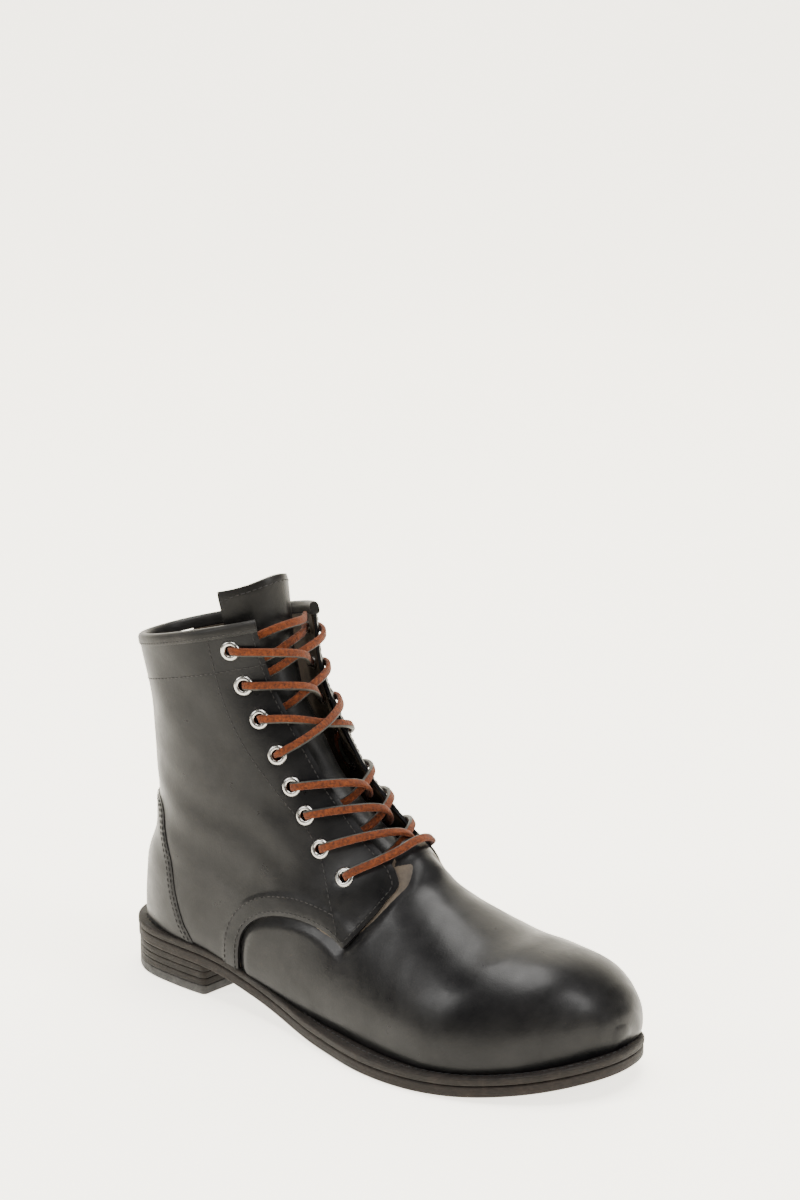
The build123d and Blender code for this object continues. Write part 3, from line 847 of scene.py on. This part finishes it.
def make_quarter(face, side_name, half):
    """One side of the boot with its eyelet holes, facing line and collar line."""
    mesh = face
    for field in ("seat", "collar", half, "edge", f"holes_{half}"):
        mesh = clip(mesh, field)
    rim = np.minimum(mesh["edge"], np.minimum(mesh[half] + 0.4, mesh[f"holes_{half}"] + 0.6))
    quarter = panel(f"quarter_{side_name}_skin", mesh, quarter_lift(mesh), QUARTER_THICK, [UPPER],
                    edge=rim, slot="upper_leather")
    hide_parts(f"quarter_{side_name}")
    over_band = mesh["n"] * quarter_lift(mesh)[:, None]
    raised = dict(mesh, p=mesh["p"] + over_band)
    rows = contour(raised, "edge", EDGE_ROW, STITCH_LIFT)
    rows += contour(clip(raised, "back"), "apron", APRON_BAND - APRON_ROW, STITCH_LIFT)
    rows += contour(raised, "facing", 0.0, STITCH_LIFT)
    rows += contour(raised, "collar", COLLAR_ROW, STITCH_LIFT)
    stitches(f"stitches_quarter_{side_name}", rows, slot="upper_leather")


def make_vamp(face):
    """Plain toe and forefoot, tucked under both quarters."""
    mesh = clip(clip(face, "seat"), "vamp")
    sunk = -QUARTER_THICK * step((mesh["quarter"] + 6) / 6)
    vamp = panel("vamp_skin", mesh, sunk, 1.0, [UPPER], slot="upper_leather")
    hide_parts("vamp")


def make_counter(face):
    """Outside heel counter over both quarters, with two rows of stitches."""
    mesh = clip(clip(face, "seat"), "counter")
    counter = panel("heel_counter_skin", mesh, COUNTER_LIFT, 1.2, [UPPER], edge=mesh["counter"],
                    slot="upper_leather")
    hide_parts("heel_counter_cover")
    rows = []
    for inset in COUNTER_ROWS:
        rows += contour(mesh, "counter", inset, COUNTER_LIFT + STITCH_LIFT)
    stitches("stitches_heel_counter", rows, slot="upper_leather")


face = outer_face()
make_quarter(face, "lateral", "outer")
make_quarter(face, "medial", "inner")
make_vamp(face)
make_counter(face)


# ------------------------------------------------------------------ collar binding
BINDING_PROFILE = [
    (-3.5, -5.2), (-3.65, -3.0), (-3.6, -1.2), (-3.1, 0.0), (-2.2, 0.5), (-1.0, 0.5), (0.1, 0.05),
    (0.75, -1.1), (0.9, -2.8), (0.75, -4.6), (0.35, -5.4), (-0.6, -5.6),
]


def make_binding():
    """Rolled strip sewn over the collar edge from one side of the throat to the other."""
    angles = np.arange(0, 360, 1.5)
    points = surface(1.0, angles)
    kept = angles[np.abs(points[:, 1]) >= along(THROAT, points[:, 2]) - 0.4]
    line = surface(1.0, np.linspace(kept[0], kept[-1], 170))
    tangents = np.gradient(line, axis=0)
    xa, za, xb, zb = SECTIONS[1][:4]
    up = np.array([zb - za, 0, xa - xb]) / math.hypot(xb - xa, zb - za)
    outs = np.cross(tangents, up)
    outs /= np.linalg.norm(outs, axis=1)[:, None]
    outward = np.sign(((line - line.mean(axis=0)) * outs).sum())
    profile = np.array(BINDING_PROFILE)
    rings = (line[:, None] + outward * outs[:, None] * profile[None, :, :1]
             + up[None, None] * profile[None, :, 1:])
    points, faces = tube(rings, closed_path=False)
    binding = new_piece("collar_binding_roll", points, faces, [BINDING], slot="binding_leather")
    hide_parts("collar_binding")
    normals = np.broadcast_to(outward * outs, line.shape)
    row = line + normals * 0.85 - up * 4.1
    stitches("stitches_binding", [(row, normals)], length=1.9, spacing=2.6, width=0.45,
             slot="binding_leather")


make_binding()


# ------------------------------------------------------------------------- tongue
TONGUE_HALF = 26.0
TONGUE_SHOULDER_Z = 204
TONGUE_CROWN = 11
TONGUE_ROW = 3.2
TONGUE_ZONE = [
    (22, 235), (34, 190), (44, 150), (70, 112), (98, 82), (120, 60), (150, 60), (150, 110),
    (130, 150), (110, 235),
]


def make_tongue():
    """Soft tongue under the lacing, its rounded top standing above the collar."""
    mesh = skin_mesh(INNER + TONGUE_GAP, rows=220, columns=150)
    x, y, z = mesh["p"].T
    mesh["front"] = TONGUE_HALF - np.abs(y)
    mesh["zone"] = side_field(mesh["p"], TONGUE_ZONE, TONGUE_ZONE[:1])
    mesh["top"] = TONGUE_SHOULDER_Z + TONGUE_CROWN * (1 - (y / TONGUE_HALF) ** 2) - z
    mesh["rim"] = round_min(mesh["front"], mesh["top"], 6.0)
    for field in ("zone", "rim"):
        mesh = clip(mesh, field)
    x, y, z = mesh["p"].T
    folds = 0.35 * np.sin((z + 0.5 * x) * 2 * math.pi / 19 + 0.05 * y) * step((200 - z) / 30) - 0.35
    tongue = panel("tongue_skin", mesh, folds, TONGUE_THICK - 0.4, [TONGUE_SKIN], body="tongue",
                   edge=mesh["rim"], slot="tongue_leather")
    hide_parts("tongue")
    stitches("stitches_tongue", contour(mesh, "rim", TONGUE_ROW, -0.2), body="tongue",
             slot="tongue_leather")


make_tongue()


# ------------------------------------------------------------------------ eyelets
EYELET_PROFILE = [
    (2.45, -3.9), (2.42, -0.5), (2.5, 0.45), (2.85, 0.95), (3.5, 1.15), (4.3, 0.95), (4.85, 0.5),
    (5.0, 0.0), (4.7, -0.25), (3.3, -0.3), (3.2, -3.9),
]
EYELET_STEPS = 40


def make_eyelets(side, side_name):
    """Eight set rings with rolled faces on one side."""
    points = []
    faces = []
    profile = np.array(EYELET_PROFILE)
    turn = np.arange(EYELET_STEPS) * 2 * math.pi / EYELET_STEPS
    for centre, normal in zip(*seat_points(side)):
        first = np.cross(normal, (1, 0, 0))
        first /= np.linalg.norm(first)
        second = np.cross(normal, first)
        spokes = np.cos(turn)[:, None] * first + np.sin(turn)[:, None] * second
        rings = centre + spokes[:, None] * profile[None, :, :1] + normal * profile[None, :, 1:]
        ring_points, ring_faces = tube(rings, closed_path=True)
        faces += [tuple(i + len(points) for i in f) for f in ring_faces]
        points += ring_points.tolist()
    rings = new_piece(f"eyelet_rings_{side_name}", points, faces, [NICKEL], slot="eyelet_nickel")
    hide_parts(f"eyelets_{side_name}")


make_eyelets(-1, "lateral")
make_eyelets(1, "medial")


# ------------------------------------------------------------------- sole and heel
WELT_THICK = 4.0
OUTSOLE_THICK = 6.0
WELT_WIDTH = 15.0
LIFT_COUNT = 3
HEEL_INSET = 0.8
HEEL_CORNER_R = 3.0
SOLE_SPINE = (2.0, 214.0)
HEEL_SPINE = (-4.0, 8.0)


def closed_outline(points, steps=10):
    """Even points round a closed smooth line through given ones."""
    wrapped = list(points[-2:]) + list(points) + list(points[:3])
    place = 2 + np.arange(len(points) * steps) / steps
    return smooth_rows(wrapped, place)


def inward_of(outline):
    """Inward directions of a closed outline in plan."""
    run = np.roll(outline, -1, axis=0) - np.roll(outline, 1, axis=0)
    run /= np.linalg.norm(run, axis=1)[:, None]
    return np.stack([-run[:, 1], run[:, 0]], -1)


def plate(name, outline, low, high, edge, materials, spine=None, width=None, **options):
    """Layer with rounded edges; low and high give its faces' heights over x.  It is a ring
    of a given width, or closed across by drawing the outline in to a spine."""
    inward = inward_of(outline)
    arc = np.radians([0, 22, 45, 68, 90])
    profile = [(edge * (1 - math.sin(a)), low, edge * (1 - math.cos(a))) for a in arc]
    profile += [(edge * (1 - math.sin(a)), high, -edge * (1 - math.cos(a))) for a in arc[::-1]]
    if width:
        profile += [(width, high, 0), (width, low, 0)]
    plans = [(outline + inward * inset, level, rise) for inset, level, rise in profile]
    if not width:
        for level, start in ((high, profile[-1]), (low, profile[0])):
            rim = outline + inward * start[0]
            centre = np.stack([np.clip(rim[:, 0], *spine), np.zeros(len(rim))], -1)
            caps = [(rim + (centre - rim) * share, level, 0) for share in (0.3, 0.65, 1.0)]
            plans = plans + caps if level is high else caps[::-1] + plans
    rings = np.stack([np.column_stack([plan, level(plan[:, 0]) + rise])
                      for plan, level, rise in plans], 1)
    points, faces = tube(rings, closed_path=True, closed_profile=bool(width))
    points, faces = weld(points, faces)
    return new_piece(name, points, faces, materials, **options)


def seat_offset(offset):
    """Height function that follows the seat line at an offset."""
    return lambda x: along(SEAT_LINE, x) + offset


def level_at(height):
    """Height function of a level face."""
    return lambda x: np.full(len(x), height)


def heel_outline():
    """Rear part of the sole's outline, closed by the straight breast."""
    full = closed_outline(WELT_OUTLINE)
    full = full + inward_of(full) * HEEL_INSET
    back = full[full[:, 0] < BREAST_X - HEEL_CORNER_R]
    outer = back[back[:, 1] <= 0]
    inner = back[back[:, 1] > 0]
    outer = outer[np.argsort(outer[:, 0])]
    inner = inner[np.argsort(-inner[:, 0])]
    arc = np.radians(np.linspace(-90, 0, 7))
    corner = np.stack([np.cos(arc), np.sin(arc)], -1) * HEEL_CORNER_R
    x = BREAST_X - HEEL_CORNER_R
    first = corner + (x, outer[-1, 1] + HEEL_CORNER_R)
    last = corner[::-1] * (1, -1) + (x, inner[0, 1] - HEEL_CORNER_R)
    across = np.linspace(first[-1, 1], last[0, 1], 11)[1:-1]
    breast = np.column_stack([np.full(len(across), BREAST_X), across])
    return np.vstack([outer, first, breast, last, inner])


def make_sole():
    """Welt, outsole, three heel lifts and the rubber top piece, each with a worn edge."""
    outline = closed_outline(WELT_OUTLINE)
    welt = plate("welt_ring", outline, seat_offset(-WELT_THICK), seat_offset(0), 1.1, [WELT],
                 width=WELT_WIDTH, slot="welt_leather")
    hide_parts("welt")
    depth = WELT_THICK + OUTSOLE_THICK
    outsole = plate("outsole_plate", outline + inward_of(outline) * 0.25, seat_offset(-depth),
                    seat_offset(-WELT_THICK), 1.3, [SOLE], spine=SOLE_SPINE, slot="sole_leather")
    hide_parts("outsole")
    row = outline + inward_of(outline) * 4.6
    line = np.column_stack([row, along(SEAT_LINE, row[:, 0]) + 0.1])
    line = np.vstack([line, line[:1]])
    normals = np.tile((0.0, 0.0, 1.0), (len(line), 1))
    stitches("stitches_welt", [(line, normals)], length=3.4, width=0.95, spacing=4.2,
             slot="welt_leather")
    heel = heel_outline()
    lift = (HEEL_HEIGHT - TOP_PIECE_THICK) / LIFT_COUNT
    under_sole = seat_offset(-depth)
    for number in range(LIFT_COUNT):
        low = TOP_PIECE_THICK + number * lift
        bottom = lambda x, low=low: np.minimum(low, under_sole(x) - 0.2)
        top = lambda x, low=low: np.minimum(low + lift, under_sole(x))
        piece = plate(f"heel_layer_{number + 1}", heel, bottom, top, 0.55, [HEEL], spine=HEEL_SPINE,
                      slot="heel_leather")
        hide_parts(f"heel_lift_{number + 1}")
    top_piece = plate("heel_top_rubber", heel, level_at(0.0), level_at(TOP_PIECE_THICK), 0.8,
                      [RUBBER], spine=HEEL_SPINE, slot="heel_rubber")
    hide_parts("heel_top_piece")


make_sole()


# ------------------------------------------------------- pieces kept from the frame
KEPT = {
    LINING: ["vamp_lining", "quarter_lining_lateral", "quarter_lining_medial",
             "eyestay_facing_lateral", "eyestay_facing_medial"],
    BOARD: ["toe_puff", "heel_counter_stiffener"],
    INSOLE: ["insole"],
    SOCK: ["sock_liner"],
    CORK: ["cork_filler"],
    STEEL: ["steel_shank", "heel_nails"],
}
for material, names in KEPT.items():
    for name in names:
        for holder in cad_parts[name].material_slots:
            holder.material = material


# -------------------------------------------------------------- backdrop and light
SHEET_FLOOR = (-2600, -600, 900, 1500)
SHEET_BEND_R = 900
SHEET_TOP = 4200
SHEET_DROP = 0.05
SHEET_SIDES = (-3500, -1200, 0, 1200, 3500)
LIGHT_TARGET = (0.1, 0.0, 0.08)
LIGHTS = [
    ("overhead", (0.15, 0.1, 1.9), (1.5, 1.0), 70, (1.0, 0.985, 0.96)),
    ("key", (-0.9, -1.5, 1.3), (0.5, 0.9), 26, (1.0, 0.99, 0.97)),
    ("toe_side", (1.7, 0.35, 1.0), (0.45, 0.8), 20, (1.0, 0.99, 0.98)),
]


def make_backdrop():
    """Pale sheet that runs under the boot and curves up behind it."""
    azimuth = math.radians(CAMERA_AZIMUTH)
    away = np.array([-math.sin(azimuth), math.cos(azimuth)])
    across = np.array([math.cos(azimuth), math.sin(azimuth)])
    bend = np.radians(np.linspace(0, 90, 19))
    start = SHEET_FLOOR[-1]
    profile = [(reach, 0) for reach in SHEET_FLOOR]
    profile += [(start + SHEET_BEND_R * math.sin(a), SHEET_BEND_R * (1 - math.cos(a)))
                for a in bend[1:]]
    profile += [(start + SHEET_BEND_R, SHEET_TOP)]
    points = []
    for reach, height in profile:
        for side in SHEET_SIDES:
            plan = away * reach + across * side
            points.append((plan[0], plan[1], height - SHEET_DROP))
    wide = len(SHEET_SIDES)
    faces = [(r * wide + k, r * wide + k + 1, (r + 1) * wide + k + 1, (r + 1) * wide + k)
             for r in range(len(profile) - 1) for k in range(wide - 1)]
    mesh = bpy.data.meshes.new("backdrop")
    mesh.from_pydata((np.array(points) * MM).tolist(), [], faces)
    mesh.materials.append(paper_material())
    mesh.polygons.foreach_set("use_smooth", [True] * len(mesh.polygons))
    backdrop = bpy.data.objects.new("backdrop", mesh)
    bpy.context.scene.collection.objects.link(backdrop)


def paper_material():
    """Matt cream backdrop paper."""
    n = Nodes("backdrop_paper")
    colour = n.ramp(n.noise(3, 3), (0.87, 0.83, 0.735), (0.885, 0.845, 0.75))
    n.link(colour, n.shader.inputs["Emission Color"])
    n.shader.inputs["Emission Strength"].default_value = 3.1
    return n.finish(colour, n.span(n.noise(40), 0.85, 0.95))


def add_light(name, place, size, power, tint):
    """Soft area light aimed at the boot."""
    data = bpy.data.lights.new(name, "AREA")
    data.shape = "RECTANGLE"
    data.size, data.size_y = size
    data.energy = power
    data.color = tint
    light = bpy.data.objects.new(name, data)
    light.location = place
    light.rotation_euler = (Vector(LIGHT_TARGET) - Vector(place)).to_track_quat("-Z", "Y").to_euler()
    bpy.context.scene.collection.objects.link(light)


def light_scene():
    """Large overhead softbox, a key from the left of the camera and a fill from the toe."""
    world = bpy.data.worlds.new("studio")
    world.use_nodes = True
    background = world.node_tree.nodes["Background"]
    background.inputs["Color"].default_value = (1.0, 0.985, 0.95, 1)
    background.inputs["Strength"].default_value = 0.16
    bpy.context.scene.world = world
    for light in LIGHTS:
        add_light(*light)


make_backdrop()
light_scene()
